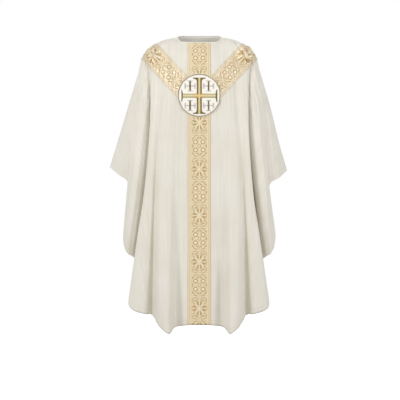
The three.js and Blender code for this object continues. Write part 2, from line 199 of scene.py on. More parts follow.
def soften(field, times):
    """Rounds off a field of heights, so that a slanting crest doesn't step from row to row."""
    for _ in range(times):
        for axis in (0, 1):
            field = (np.roll(field, 1, axis) + 2 * field + np.roll(field, -1, axis)) / 4
    return field


def small_folds(panel, grid, fold_at, share):
    """How far the small folds move each point of the great ones: soft ones down the length, and the
    sharp pleats, leaning outward, that crush the cloth at the point of the shoulder."""
    seed = 3.7 * panel["side"]
    ripple = np.zeros(grid.shape[:2])
    for i, v in enumerate(share):
        for j, u in enumerate(fold_at):
            long_fold = noise.noise(Vector((u * 1.15, v * 1.6, seed)))
            narrow_fold = noise.noise(Vector((u * 3.0, v * 2.2, seed + 5)))
            crease = abs(noise.noise(Vector((u * 1.9, v * 0.9, seed + 9))))
            soft = LONG_FOLD_HEIGHT * long_fold + NARROW_FOLD_HEIGHT * narrow_fold
            ripple[i, j] = soft + (CREASE_HEIGHT + CREASE_GROWTH * v) * crease
    normals = grid_normals(panel, grid)
    spacing = np.linalg.norm(np.gradient(grid, axis=1), axis=-1)
    turning = np.linalg.norm(np.gradient(normals, axis=1), axis=-1) / np.maximum(spacing, 1e-5)
    ripple /= 1 + (TIGHTEST_RIPPLE * turning) ** 2
    x, z = grid[..., 0], grid[..., 2]
    bend = np.array([[noise.noise(Vector((p[0] * 9, p[2] * 9, seed))) for p in row] for row in grid])
    one_side_differs = np.where(x > 0, 0.006 + 0.02 * (z + 0.08), 0)
    off = PLEAT_OUT * np.abs(x) + PLEAT_UP * z + one_side_differs + 0.005 * bend
    pleats = np.zeros_like(off)
    for place, inner, outer in PLEATS:
        rise = np.where(off < place, (off - place) / inner, (place - off) / outer)
        pleats = np.maximum(pleats, step(0, 1, 1 + rise))
    pleats = soften(pleats, 3)
    across, height = SHOULDER_POINT
    at_shoulder = np.exp(-(((np.abs(x) - across) / 0.046) ** 4) - ((z - height) / 0.050) ** 4)
    below = np.exp(-(((np.abs(x) - 0.262) / 0.040) ** 2) - ((z + 0.24) / 0.11) ** 2)
    wing = np.sin(2 * math.pi * (np.abs(x) + 0.20 * z + 0.004 * bend) / WING_FOLD_SPACING)
    ripple += PLEAT_HEIGHT * at_shoulder * (pleats - 0.45) + WING_FOLD_HEIGHT * below * wing
    moved = normals * ripple[..., None]
    lean = PLEAT_LEAN * at_shoulder * pleats
    moved[..., 0] += lean * PLEAT_OUT * np.sign(x)
    moved[..., 2] += lean * PLEAT_UP
    return moved


def draped_grid(panel):
    """The panel's mid-surface, as rows of points from the neck down and columns from left to right:
    with its great folds alone, and with the small ones too."""
    folds = [
        [fold_root(panel, kind, degrees)]
        + [
            [a / 100 * SLEEVE_REACH, panel["side"] * o / 100 * panel["depth"], -d / 100 * panel["length"]]
            for a, o, d in line
        ]
        for kind, degrees, line in panel["folds"]
    ]
    folds.append([fold_root(panel, "shoulder", 90), [SLEEVE_REACH, 0, -SLEEVE_DROP]])
    t = np.linspace(0, 1, ROWS)
    share = 0.27 * t + 0.73 * t**2  # closer together at the top, for the sharp pleats
    right = np.stack([evenly(line, share) for line in folds], axis=1)
    left = right[:, :0:-1] * [-1, 1, 1]
    lines = hang_unevenly(np.concatenate([left, right], axis=1))
    last = len(folds) - 1
    columns = np.linspace(0, 2 * last, 2 * last * COLUMNS_PER_FOLD + 1)
    grid = smooth_line(lines, columns)
    fold_at = columns - last
    to_edge = step(0, 0.03, share)[:, None] * step(0, 1.2, last - np.abs(fold_at))[None, :]
    under_band = 1 - 0.75 * np.exp(-((fold_at / 1.6) ** 2))[None, :]
    moved = small_folds(panel, grid, fold_at, share) * (to_edge * under_band)[..., None]
    return keep_to_its_side(panel, grid.copy()), keep_to_its_side(panel, grid + moved)


def cloth_mesh(name, panel, grid):
    """A grid of points as a mesh. Map cut is where each point lay on the flat cloth, in metres, and map
    hem is how far it lies along the hem and above it."""
    rows, columns = grid.shape[:2]
    faces = []
    for i in range(rows - 1):
        for j in range(columns - 1):
            a, b = i * columns + j, (i + 1) * columns + j
            faces.append((a, b, b + 1, a + 1) if panel["side"] < 0 else (a, a + 1, b + 1, b))
    mesh = bpy.data.meshes.new(name)
    mesh.from_pydata(grid.reshape(-1, 3).tolist(), [], faces)
    across = running_length(grid, 1)
    across -= across[:, columns // 2 : columns // 2 + 1]
    down = running_length(grid, 0)
    hem_run = np.broadcast_to(across[-1:], across.shape)
    corner = np.empty(len(mesh.loops), int)
    mesh.loops.foreach_get("vertex_index", corner)
    for title, u, v in (("cut", across, -down), ("hem", hem_run, down[-1:] - down)):
        layer = mesh.uv_layers.new(name=title)
        flat = np.stack([u.reshape(-1), v.reshape(-1)], axis=1)[corner]
        layer.uv.foreach_set("vector", flat.astype(np.float32).reshape(-1))
    return mesh


def tree_of(mesh):
    """The mesh as a tree that rays can be cast at."""
    solid = bmesh.new()
    solid.from_mesh(mesh)
    made = BVHTree.FromBMesh(solid)
    solid.free()
    return made


def linear(hex_colour):
    """An sRGB hex colour as the linear values that the shaders take."""
    values = [int(hex_colour[i : i + 2], 16) / 255 for i in (1, 3, 5)]
    return [v / 12.92 if v <= 0.04045 else ((v + 0.055) / 1.055) ** 2.4 for v in values] + [1]


def add(tree, kind, inputs=None, **settings):
    """A new node with its settings. An input is a value, or another node or socket to link from."""
    made = tree.nodes.new("ShaderNode" + kind)
    for key, value in settings.items():
        setattr(made, key, value)
    for key, value in (inputs or {}).items():
        if isinstance(value, bpy.types.Node):
            value = next(s for s in value.outputs if s.enabled)
        if isinstance(value, bpy.types.NodeSocket):
            tree.links.new(value, made.inputs[key])
        else:
            made.inputs[key].default_value = value
    return made


def wave_scale(spacing):
    """The scale at which a wave texture's crests are this far apart."""
    return 0.1 / spacing * 3.14


def new_material(name):
    material = bpy.data.materials.new(name)
    material.use_nodes = True
    material.node_tree.nodes.clear()
    return material, material.node_tree


def finish_piece(name, data, material, stands_for, thickness=None, outward=0.0):
    """An object from a mesh or curve, with its material and its place in the frame."""
    piece = bpy.data.objects.new(name, data)
    bpy.context.collection.objects.link(piece)
    data.materials.append(material)
    if piece.type == "MESH":
        data.polygons.foreach_set("use_smooth", [True] * len(data.polygons))
    if thickness:
        shell = piece.modifiers.new("Cloth thickness", "SOLIDIFY")
        shell.thickness = thickness
        shell.offset = outward
        shell.use_even_offset = False
    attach(piece, "root")
    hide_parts(stands_for)
    return piece


# Polyester suiting with a raw-silk look, plain woven from slubbed yarn: matt, with faint streaks down the
# length that are painted darker in its colour, painted shade of soft crease lines, and raised a little in
# the bump. The yarns are really 0.3 mm apart and are drawn 1.6 mm apart, so that they show.
YARN_SPACING = 0.0016
CLOTH_LIGHT = "#E9E6DA"
CLOTH_DARK = "#E1DCCD"
SEWING_THREAD = "#CFC6AE"
HEM_STITCH_HEIGHT = 0.022
STITCH_LENGTH = 0.0045
# The strip this close to every hem is painted lighter: a painted highlight where the pressed edge would
# catch the light.
HEM_HIGHLIGHT_WIDTH = 0.0028
PAINTED_HEM_HIGHLIGHT = "#F7F4EA"

suiting, tree = new_material("Cream slub polyester suiting")
cut = add(tree, "UVMap", uv_map="cut")
streak_place = add(tree, "Mapping", {"Vector": cut, "Scale": (95, 4, 1)})
streaks = add(tree, "TexNoise", {"Vector": streak_place, "Scale": 1, "Detail": 4, "Roughness": 0.6})
cloud = add(tree, "TexNoise", {"Vector": cut, "Scale": 6, "Detail": 3})
tone = add(tree, "Math", {0: streaks.outputs[0], 1: cloud.outputs[0]}, operation="MULTIPLY")
# Painted shade: the streaks, varied by a broad cloud, set how far the cloth colour goes toward CLOTH_DARK.
shade = add(tree, "MapRange", {"Value": tone, "From Min": 0.12, "From Max": 0.40})
warp = add(tree, "TexWave", {"Vector": cut, "Scale": wave_scale(YARN_SPACING), "Distortion": 0.6},
           wave_type="BANDS", bands_direction="X")
weft = add(tree, "TexWave", {"Vector": cut, "Scale": wave_scale(YARN_SPACING), "Distortion": 0.6},
           wave_type="BANDS", bands_direction="Y")
weave = add(tree, "Math", {0: warp.outputs[1], 1: weft.outputs[1]}, operation="MULTIPLY")
cloth_colour = add(tree, "Mix", {"Factor": shade, 6: linear(CLOTH_DARK), 7: linear(CLOTH_LIGHT)},
                   data_type="RGBA")
hem_place = add(tree, "SeparateXYZ", {0: add(tree, "UVMap", uv_map="hem")})
on_row = add(tree, "Math", {0: hem_place.outputs[1], 1: HEM_STITCH_HEIGHT, 2: 0.0006}, operation="COMPARE")
stitch_run = add(tree, "Math", {0: hem_place.outputs[0], 1: STITCH_LENGTH}, operation="FLOORED_MODULO")
on_stitch = add(tree, "Math", {0: stitch_run, 1: 0.7 * STITCH_LENGTH}, operation="LESS_THAN")
stitch = add(tree, "Math", {0: on_row, 1: on_stitch}, operation="MULTIPLY")
stitched = add(tree, "Mix", {"Factor": stitch, 6: cloth_colour.outputs[2], 7: linear(SEWING_THREAD)},
               data_type="RGBA")
# Painted highlight: along the hem the cloth colour is mixed toward a paler colour.
on_edge = add(tree, "Math", {0: hem_place.outputs[1], 1: HEM_HIGHLIGHT_WIDTH}, operation="LESS_THAN")
hem_highlight_share = add(tree, "Math", {0: on_edge, 1: 0.7}, operation="MULTIPLY")
with_hem_highlight = add(tree, "Mix", {"Factor": hem_highlight_share, 6: stitched.outputs[2], 7: linear(PAINTED_HEM_HIGHLIGHT)},
            data_type="RGBA")
relief = add(tree, "Math", {0: weave, 1: 0.5, 2: streaks.outputs[0]}, operation="MULTIPLY_ADD")
relief = add(tree, "Math", {0: stitch, 1: -1.5, 2: relief}, operation="MULTIPLY_ADD")
bump = add(tree, "Bump", {"Height": relief, "Strength": 0.25, "Distance": 0.0006})
surface = add(tree, "BsdfPrincipled", {
    "Base Color": with_hem_highlight.outputs[2], "Roughness": 0.72, "Specular IOR Level": 0.3,
    "Sheen Weight": 0.25, "Sheen Roughness": 0.5, "Normal": bump,
})
add(tree, "OutputMaterial", {"Surface": surface})

for name, panel in PANELS.items():
    smooth, grid = draped_grid(panel)
    mesh = cloth_mesh(name + "_panel_cloth", panel, grid)
    panel.update(grid=grid, tree=tree_of(mesh))
    panel["uncrushed"] = cloth_mesh(name + "_before_crushing", panel, smooth)
    panel["uncrushed_tree"] = tree_of(panel["uncrushed"])
    panel["piece"] = finish_piece(name + "_panel_cloth", mesh, suiting, name + "_panel",
                                  CLOTH_THICKNESS)

# ---- Column orphreys --------------------------------------------------------------------------
# A band of gold brocade, woven with rings and leaf crosses between plain borders, is top-stitched
# down the middle of the front and of the back, from the neckline to the hem.

COLUMN_HALF_WIDTH = 0.049
BAND_THICKNESS = 0.0009
BAND_LIFT = 0.0012
PATTERN_REPEAT = 0.201
BORDER_WIDTH = 0.013
RIB_SPACING = 0.0018


def mark(tree, shapes, place, centre, radius, width):
    """A ring of the given radius and half width, or a disc where the radius is 0."""
    off = add(tree, "VectorMath", {0: place, 1: (*centre, 0)}, operation="DISTANCE")
    shapes.append(add(tree, "Math", {0: off.outputs[1], 1: radius, 2: width}, operation="COMPARE"))


def leaf(tree, shapes, place, centre, degrees, length, width):
    """A leaf, which is an oval of the given half length and half width, turned by degrees."""
    turned = add(tree, "Mapping", {
        "Vector": place, "Location": (*centre, 0), "Rotation": (0, 0, math.radians(degrees)),
        "Scale": (length, width, 1),
    }, vector_type="TEXTURE")
    reach = add(tree, "VectorMath", {0: turned}, operation="LENGTH")
    shapes.append(add(tree, "Math", {0: reach.outputs[1], 1: 1}, operation="LESS_THAN"))


def any_of(tree, shapes):
    """A mask that is 1 wherever any of the shapes is."""
    together = shapes[0]
    for shape in shapes[1:]:
        together = add(tree, "Math", {0: together, 1: shape}, operation="MAXIMUM")
    return together


# Polyester brocade with gold lurex yarn: a satin figure on a ribbed ground, so the figure is
# smoother and brighter than the ground. The ribs are really 0.4 mm apart and are drawn 1.8 mm apart.
def brocade_material(name, ground_hex, olive_hex, tan_hex, light_hex, half_width, lurex, roughness):
    material, tree = new_material(name)
    flat = add(tree, "UVMap", uv_map="band")
    across_along = add(tree, "SeparateXYZ", {0: flat})
    middle = add(tree, "Math", {0: across_along.outputs[0]}, operation="ABSOLUTE")
    half_turn = add(tree, "Math", {0: across_along.outputs[1], 1: PATTERN_REPEAT / 2}, operation="PINGPONG")
    other = add(tree, "Math", {0: PATTERN_REPEAT / 2, 1: half_turn}, operation="SUBTRACT")
    rings = add(tree, "CombineXYZ", {0: middle, 1: half_turn})
    cross = add(tree, "CombineXYZ", {0: middle, 1: other})
    dark_shapes, light_shapes = [], []
    mark(tree, dark_shapes, rings, (0.0163, 0.0175), 0.0086, 0.0019)
    mark(tree, light_shapes, rings, (0.0163, 0.0175), 0, 0.0056)
    mark(tree, light_shapes, rings, (0.0163, 0.0175), 0.0124, 0.0008)
    mark(tree, dark_shapes, rings, (0, 0), 0.0058, 0.0010)
    mark(tree, light_shapes, rings, (0, 0), 0, 0.0036)
    leaf(tree, light_shapes, rings, (0.0130, 0), 0, 0.0066, 0.0016)
    leaf(tree, light_shapes, rings, (0, 0.0190), 90, 0.0110, 0.0013)
    leaf(tree, dark_shapes, rings, (0.0300, 0.0010), 90, 0.0062, 0.0020)
    leaf(tree, dark_shapes, rings, (0.0075, 0.0345), 152, 0.0072, 0.0019)
    leaf(tree, light_shapes, rings, (0.0150, 0.0365), 158, 0.0100, 0.0015)
    leaf(tree, dark_shapes, rings, (0.0265, 0.0335), 134, 0.0080, 0.0019)
    leaf(tree, light_shapes, rings, (0.0290, 0.0405), 134, 0.0070, 0.0013)
    leaf(tree, dark_shapes, rings, (0.0170, 0.0440), 165, 0.0095, 0.0013)
    leaf(tree, light_shapes, cross, (0.0125, 0.0150), 50, 0.0180, 0.0021)
    leaf(tree, light_shapes, cross, (0, 0.0200), 90, 0.0230, 0.0013)
    leaf(tree, light_shapes, cross, (0.0190, 0), 0, 0.0130, 0.0012)
    leaf(tree, dark_shapes, cross, (0.0210, 0.0072), 24, 0.0098, 0.0036)
    leaf(tree, dark_shapes, cross, (0.0066, 0.0215), 76, 0.0105, 0.0031)
    leaf(tree, dark_shapes, cross, (0.0225, 0.0215), 50, 0.0052, 0.0026)
    leaf(tree, light_shapes, cross, (0.0285, 0.0160), 100, 0.0062, 0.0014)
    leaf(tree, dark_shapes, cross, (0.0150, 0.0350), 152, 0.0100, 0.0017)
    leaf(tree, light_shapes, cross, (0.0190, 0.0395), 148, 0.0115, 0.0013)
    leaf(tree, dark_shapes, cross, (0.0295, 0.0345), 118, 0.0060, 0.0019)
    leaf(tree, dark_shapes, cross, (0.0170, 0.0455), 162, 0.0100, 0.0013)
    mark(tree, light_shapes, cross, (0, 0), 0, 0.0036)
    mark(tree, dark_shapes, cross, (0.0315, 0.0030), 0, 0.0022)
    field = half_width - BORDER_WIDTH
    in_field = add(tree, "Math", {0: middle, 1: field}, operation="LESS_THAN")
    dark = add(tree, "Math", {0: any_of(tree, dark_shapes), 1: in_field}, operation="MULTIPLY")
    light = add(tree, "Math", {0: any_of(tree, light_shapes), 1: in_field}, operation="MULTIPLY")
    bar = add(tree, "Math", {0: half_turn, 1: PATTERN_REPEAT / 4, 2: 0.0009}, operation="COMPARE")
    bar = add(tree, "Math", {0: bar, 1: in_field}, operation="MULTIPLY")
    # Painted shade: a thin dark line along both outer edges of the band, where the band's edge stands off
    # the cloth.
    edge = add(tree, "Math", {0: middle, 1: half_width, 2: 0.0009}, operation="COMPARE")
    dark = add(tree, "Math", {0: dark, 1: edge}, operation="MAXIMUM")
    lines = [light, bar]
    for place in (field, half_width - 0.0030):
        lines.append(add(tree, "Math", {0: middle, 1: place, 2: 0.0010}, operation="COMPARE"))
    light = any_of(tree, lines)
    yarn_tone = add(tree, "TexNoise", {"Vector": flat, "Scale": 160, "Detail": 3})
    dye = add(tree, "TexNoise", {"Vector": flat, "Scale": 26, "Detail": 2})
    dye_share = add(tree, "MapRange", {"Value": dye, "From Min": 0.38, "From Max": 0.62})
    figure_dark = add(tree, "Mix", {"Factor": dye_share, 6: linear(olive_hex), 7: linear(tan_hex)},
                      data_type="RGBA")
    dark_share = add(tree, "Math", {0: dark, 1: 0.86, 2: add(tree, "Math", {0: yarn_tone, 1: 0.22},
                                                         operation="MULTIPLY")}, operation="MULTIPLY_ADD")
    with_dark = add(tree, "Mix", {"Factor": dark_share, 6: linear(ground_hex), 7: figure_dark.outputs[2]},
                    data_type="RGBA")
    with_light = add(tree, "Mix", {"Factor": add(tree, "Math", {0: light, 1: 0.85}, operation="MULTIPLY"),
                                   6: with_dark.outputs[2], 7: linear(light_hex)}, data_type="RGBA")
    ribs = add(tree, "TexWave", {"Vector": flat, "Scale": wave_scale(RIB_SPACING), "Distortion": 1},
               wave_type="BANDS", bands_direction="Y")
    rib_share = add(tree, "Math", {0: light, 1: -0.6, 2: 1}, operation="MULTIPLY_ADD")
    ribbed = add(tree, "Math", {0: ribs.outputs[1], 1: rib_share}, operation="MULTIPLY")
    figure = add(tree, "Math", {0: light, 1: dark}, operation="ADD")
    woven = add(tree, "Math", {0: figure, 1: 0.9, 2: ribbed}, operation="MULTIPLY_ADD")
    bump = add(tree, "Bump", {"Height": woven, "Strength": 0.35, "Distance": 0.0007})
    gloss = add(tree, "MapRange", {"Value": light, "To Min": roughness, "To Max": roughness - 0.16})
    surface = add(tree, "BsdfPrincipled", {
        "Base Color": with_light.outputs[2], "Roughness": gloss, "Metallic": lurex,
        "Specular IOR Level": 0.5, "Sheen Weight": 0.15, "Normal": bump,
    })
    add(tree, "OutputMaterial", {"Surface": surface})
    return material


brocade = brocade_material("Gold lurex brocade", "#E6D3AC", "#AF9C66", "#C49C62", "#F9EDCE",
                           COLUMN_HALF_WIDTH, lurex=0.15, roughness=0.50)


def strip_of(panel, sides):
    """A strip cut between straight lines from the panel as it is before its small folds. Each side is
    a point on the line and the direction away from the strip, both seen from the front as (x, z)."""
    strip = bmesh.new()
    strip.from_mesh(panel["uncrushed"])
    draped = strip.verts.layers.float_vector.new("draped")
    for vert, place in zip(strip.verts, panel["grid"].reshape(-1, 3)):
        vert[draped] = place
    for point, away in sides:
        whole = strip.verts[:] + strip.edges[:] + strip.faces[:]
        bmesh.ops.bisect_plane(strip, geom=whole, plane_co=(point[0], 0, point[1]),
                               plane_no=(away[0], 0, away[1]), clear_outer=True)
    return strip


def band_mesh(name, panel, strip, start, heading):
    """Lays the brocade on a strip, from start along heading, and then drapes and lifts the strip, so
    that the woven figure goes into the pleats with the cloth."""
    start, heading = Vector(start), Vector(heading).normalized()
    beside = Vector((-heading.y, heading.x))
    distances = np.arange(-0.13, 1.40, 0.004)
    seen = []
    for d in distances:
        x, z = start + heading * d
        hit, _, _, _ = panel["uncrushed_tree"].ray_cast((x, panel["side"], z), (0, -panel["side"], 0))
        if hit:
            seen.append((d, *hit))
    seen = np.array(seen)
    run = running_length(seen[:, 1:], 0)
    run -= np.interp(0, seen[:, 0], run)
    layer = strip.loops.layers.uv.new("band")
    for face in strip.faces:
        for loop in face.loops:
            off = Vector((loop.vert.co.x, loop.vert.co.z)) - start
            loop[layer].uv = (off.dot(beside), float(np.interp(off.dot(heading), seen[:, 0], run)))
    draped = strip.verts.layers.float_vector["draped"]
    for vert in strip.verts:
        vert.co = vert[draped]
    strip.normal_update()
    lifted = [(v, v.co + v.normal * BAND_LIFT) for v in strip.verts]
    for vert, place in lifted:
        vert.co = place
        limit = panel["side"] * SEAM_GAP / 2
        vert.co.y = min(vert.co.y, limit) if panel["side"] < 0 else max(vert.co.y, limit)
    mesh = bpy.data.meshes.new(name)
    strip.to_mesh(mesh)
    strip.free()
    return mesh


for name, panel in PANELS.items():
    strip = strip_of(panel, [((COLUMN_HALF_WIDTH, 0), (1, 0)), ((-COLUMN_HALF_WIDTH, 0), (-1, 0))])
    title = name + "_column_brocade"
    mesh = band_mesh(title, panel, strip, (0, -0.0815), (0, -1))
    panel["column"] = finish_piece(title, mesh, brocade, name + "_column_orphrey",
                                   BAND_THICKNESS, 1.0)

# ---- Yoke orphreys ------------------------------------------------------------------------------
# Narrower pieces of the same brocade climb from the column over each shoulder, where they meet
# those of the other side at the shoulder seam. Near the seam they are crushed with the cloth.

YOKE_HALF_WIDTH = 0.046
YOKE_ANGLE = math.radians(48)
YOKE_MEETING = (0, -0.306)
BETWEEN_BANDS = 0.0003

# The same brocade, its colours painted a little paler as painted light for the slope of the shoulder, where
# its lurex yarns would turn to the light from above and the figure look fainter; it is also a little
# shinier.
yoke_brocade_painted_paler = brocade_material(
    "Gold lurex brocade painted paler on the slope", "#E2D2B1", "#AF9D6A", "#C49E66", "#F6EBD0",
    YOKE_HALF_WIDTH, lurex=0.20, roughness=0.47,
)

for name, panel in PANELS.items():
    for side, hand in (("left", -1), ("right", 1)):
        heading = (hand * math.cos(YOKE_ANGLE), math.sin(YOKE_ANGLE))
        beside = (-heading[1], heading[0])
        edges = []
        for s in (-1, 1):
            away = (s * beside[0], s * beside[1])
            on_edge_x = YOKE_MEETING[0] + s * YOKE_HALF_WIDTH * beside[0]
            on_edge_z = YOKE_MEETING[1] + s * YOKE_HALF_WIDTH * beside[1]
            edges.append(((on_edge_x, on_edge_z), away))
        edges.append(((hand * (COLUMN_HALF_WIDTH + BETWEEN_BANDS), 0), (-hand, 0)))
        strip = strip_of(panel, edges)
        title = f"{name}_{side}_yoke_brocade"
        mesh = band_mesh(title, panel, strip, YOKE_MEETING, heading)
        piece = finish_piece(title, mesh, yoke_brocade_painted_paler, f"{name}_{side}_yoke_orphrey",
                             BAND_THICKNESS, 1.0)

# ---- Neck and hem facings -------------------------------------------------------------------------
# Strips of the same suiting are sewn inside the neckline and turned up inside the hem, which keeps
# both edges from stretching. They are seen only from above and from below.

FACING_THICKNESS = 0.0006
FACING_DROP = 0.0016
NECK_FACING_WIDTH = 0.055
HEM_FACING_WIDTH = 0.025


def inside_strip(name, panel, edge, inward, width, rows):
    """A strip laid inside the cloth, from each point of an edge for a width along its own direction."""
    columns = len(edge)
    points = []
    for r in np.linspace(0, width, rows):
        for place, direction in zip(edge, inward):
            hit, normal, _, _ = panel["tree"].find_nearest(Vector(place + direction * r))
            points.append(hit - normal * FACING_DROP)
    faces = [(i * columns + j, (i + 1) * columns + j, (i + 1) * columns + j + 1, i * columns + j + 1)
             for i in range(rows - 1) for j in range(columns - 1)]
    grid = keep_to_its_side(panel, np.array(points).reshape(rows, columns, 3))
    mesh = bpy.data.meshes.new(name)
    mesh.from_pydata(grid.reshape(-1, 3).tolist(), [], faces)
    layer = mesh.uv_layers.new(name="cut")
    along = running_length(grid, 1).reshape(-1)
    down = running_length(grid, 0).reshape(-1)
    for loop in mesh.loops:
        layer.data[loop.index].uv = (along[loop.vertex_index], down[loop.vertex_index])
    return mesh


for name, panel in PANELS.items():
    grid = panel["grid"]
    reach = 3 * COLUMNS_PER_FOLD
    middle = grid.shape[1] // 2
    neck = grid[0, middle - reach : middle + reach + 1]
    normals = grid_normals(panel, grid)
    tangent = np.gradient(neck, axis=0)
    tangent[[0, -1]] = [0, 1, 0] * np.sign(tangent[[0, -1], 1:2])
    away = np.cross(tangent, normals[1, middle - reach : middle + reach + 1]) * -panel["side"]
    away[[0, -1]] = [[-1, 0, 0], [1, 0, 0]]
    away /= np.linalg.norm(away, axis=1, keepdims=True)
    away *= np.sign(np.sum(away * (grid[3, middle - reach : middle + reach + 1] - neck), axis=1))[:, None]
    away[[0, -1]] = [[-1, 0, 0], [1, 0, 0]]
    title = name + "_neck_facing_cloth"
    mesh = inside_strip(title, panel, neck, away, NECK_FACING_WIDTH, 10)
    facing = finish_piece(title, mesh, suiting, name + "_neck_facing", FACING_THICKNESS)
    panel["neck_edge"] = neck
    panel["neck_away"] = away

    hem = grid[-1, 2:-2]
    along_hem = np.gradient(hem, axis=0)
    along_hem /= np.linalg.norm(along_hem, axis=1, keepdims=True)
    up = grid[-8, 2:-2] - hem
    up -= along_hem * np.sum(up * along_hem, axis=1, keepdims=True)
    up /= np.linalg.norm(up, axis=1, keepdims=True)
    title = name + "_hem_facing_cloth"
    mesh = inside_strip(title, panel, hem + up * 0.001, up, HEM_FACING_WIDTH, 6)
    hem_piece = finish_piece(title, mesh, suiting, name + "_hem_facing", FACING_THICKNESS)

# ---- Neck binding ---------------------------------------------------------------------------------
# The neckline's cut edge is bound with a narrow bias strip of the suiting, rolled over the edge and
# sewn down, so that it shows as a soft round cord.

BINDING_RADIUS = 0.0024


def round_the_neck(key):
    """The front's values along the neckline and then the back's, once round."""
    return np.concatenate([PANELS["front"][key][:-1], PANELS["back"][key][::-1][:-1]])


ring = round_the_neck("neck_edge")
ring_away = round_the_neck("neck_away")
seat = ring - ring_away * BINDING_RADIUS * 0.9
seat[:, 1] = np.where(np.abs(seat[:, 1]) < 0.001, 0, seat[:, 1])
roll = bpy.data.curves.new("neck_binding_roll", "CURVE")
roll.dimensions = "3D"
roll.bevel_depth = BINDING_RADIUS
roll.bevel_resolution = 4
spline = roll.splines.new("NURBS")
spline.points.add(len(seat) - 1)
for point, place in zip(spline.points, seat):
    point.co = (*place, 1)
spline.use_cyclic_u = True
spline.order_u = 4
finish_piece("neck_binding_roll", roll, suiting, "neck_binding")

# ---- Medallion --------------------------------------------------------------------------------------
# A disc of white satin is sewn over the crossing of the bands. A dark gold cord is couched on it
# near its rim.

MEDALLION_CENTRE = (0.0, -0.261)
GROUND_RADIUS = 0.0950
GROUND_LIFT = 0.0030
GROUND_THICKNESS = 0.0010
CORD_RING_RADIUS = 0.0912
CORD_STRAND_RADIUS = 0.0009
CORD_LAY = 0.0062

# White polyester duchess satin: long floats make it smooth, with a broad soft highlight.
satin, tree = new_material("White duchess satin")
flat = add(tree, "UVMap", uv_map="cut")
floats = add(tree, "TexNoise", {"Vector": add(tree, "Mapping", {"Vector": flat, "Scale": (900, 90, 1)}),
                                "Scale": 1, "Detail": 2})
satin_tone = add(tree, "Mix", {"Factor": floats.outputs[0], 6: linear("#F4EFDF"), 7: linear("#FFFCF2")},
                 data_type="RGBA")
bump = add(tree, "Bump", {"Height": floats.outputs[0], "Strength": 0.12, "Distance": 0.0004})
surface = add(tree, "BsdfPrincipled", {
    "Base Color": satin_tone.outputs[2], "Roughness": 0.42, "Specular IOR Level": 0.5,
    "Sheen Weight": 0.1, "Normal": bump,
})
add(tree, "OutputMaterial", {"Surface": surface})


def on_front(x, z, lift):
    """The point above the front panel at (x, z), seen from the front, lifted off the cloth."""
    hit, normal, _, _ = PANELS["front"]["tree"].ray_cast((x, -1, z), (0, 1, 0))
    return hit + normal * lift


disc = bmesh.new()
disc_map = disc.loops.layers.uv.new("cut")
rings = [GROUND_RADIUS * r for r in (0.12, 0.25, 0.38, 0.5, 0.62, 0.74, 0.85, 0.94, 0.985, 1.0)]
spokes = 96
lift_at = [0.0008] * 7 + [0.0007, 0.0004, 0.0]
circle = [[disc.verts.new((MEDALLION_CENTRE[0] + r * math.cos(2 * math.pi * k / spokes), -lift,
                           MEDALLION_CENTRE[1] + r * math.sin(2 * math.pi * k / spokes)))
           for k in range(spokes)] for r, lift in zip(rings, lift_at)]
hub = disc.verts.new((MEDALLION_CENTRE[0], -0.0008, MEDALLION_CENTRE[1]))
for k in range(spokes):
    n = (k + 1) % spokes
    disc.faces.new((hub, circle[0][k], circle[0][n]))
    for inner, outer in zip(circle, circle[1:]):
        disc.faces.new((inner[k], outer[k], outer[n], inner[n]))
for face in disc.faces:
    for loop in face.loops:
        loop[disc_map].uv = (loop.vert.co.x, loop.vert.co.z)
for vert in disc.verts:
    vert.co = on_front(vert.co.x, vert.co.z, GROUND_LIFT - vert.co.y)
mesh = bpy.data.meshes.new("medallion_satin")
disc.normal_update()
disc.to_mesh(mesh)
disc.free()
ground = finish_piece("medallion_satin", mesh, satin, "medallion_ground",
                      GROUND_THICKNESS, -1.0)

# Metallic cord, two plies of dark old-gold yarn twisted together: rough, with small glints painted into its
# colour as specks of lighter gold.
cord_gold, tree = new_material("Old gold metallic cord")
painted_glint = add(tree, "TexNoise", {"Scale": 900, "Detail": 2})
cord_tone = add(tree, "Mix", {"Factor": painted_glint.outputs[0], 6: linear("#7D6A36"), 7: linear("#B59B5E")},
                data_type="RGBA")
surface = add(tree, "BsdfPrincipled", {
    "Base Color": cord_tone.outputs[2], "Roughness": 0.5, "Metallic": 0.35,
})
add(tree, "OutputMaterial", {"Surface": surface})


def tube(target, path, radius, sides):
    """Adds a round yarn along a closed path to target."""
    loops = []
    count = len(path)
    for k, place in enumerate(path):
        heading = (path[(k + 1) % count] - path[k - 1]).normalized()
        up = heading.cross(Vector((0, 1, 0))).normalized()
        out = heading.cross(up)
        loops.append([target.verts.new(place + (up * math.cos(a) + out * math.sin(a)) * radius)
                      for a in (2 * math.pi * s / sides for s in range(sides))])
    for k in range(count):
        here, there = loops[k], loops[(k + 1) % count]
        for s in range(sides):
            target.faces.new((here[s], there[s], there[(s + 1) % sides], here[(s + 1) % sides]))


twist = bmesh.new()
turns = round(2 * math.pi * CORD_RING_RADIUS / CORD_LAY)
for ply in (0, math.pi):
    path = []
    for k in range(turns * 10):
        round_ring = 2 * math.pi * k / (turns * 10)
        round_cord = turns * round_ring + ply
        r = CORD_RING_RADIUS + CORD_STRAND_RADIUS * 0.9 * math.cos(round_cord)
        path.append(on_front(MEDALLION_CENTRE[0] + r * math.cos(round_ring),
                             MEDALLION_CENTRE[1] + r * math.sin(round_ring),
                             GROUND_LIFT + 0.0026 + CORD_STRAND_RADIUS * 0.9 * math.sin(round_cord)))
    tube(twist, path, CORD_STRAND_RADIUS, 6)
mesh = bpy.data.meshes.new("medallion_twisted_cord")
bmesh.ops.recalc_face_normals(twist, faces=twist.faces)
twist.to_mesh(mesh)
twist.free()
finish_piece("medallion_twisted_cord", mesh, cord_gold, "medallion_cord")

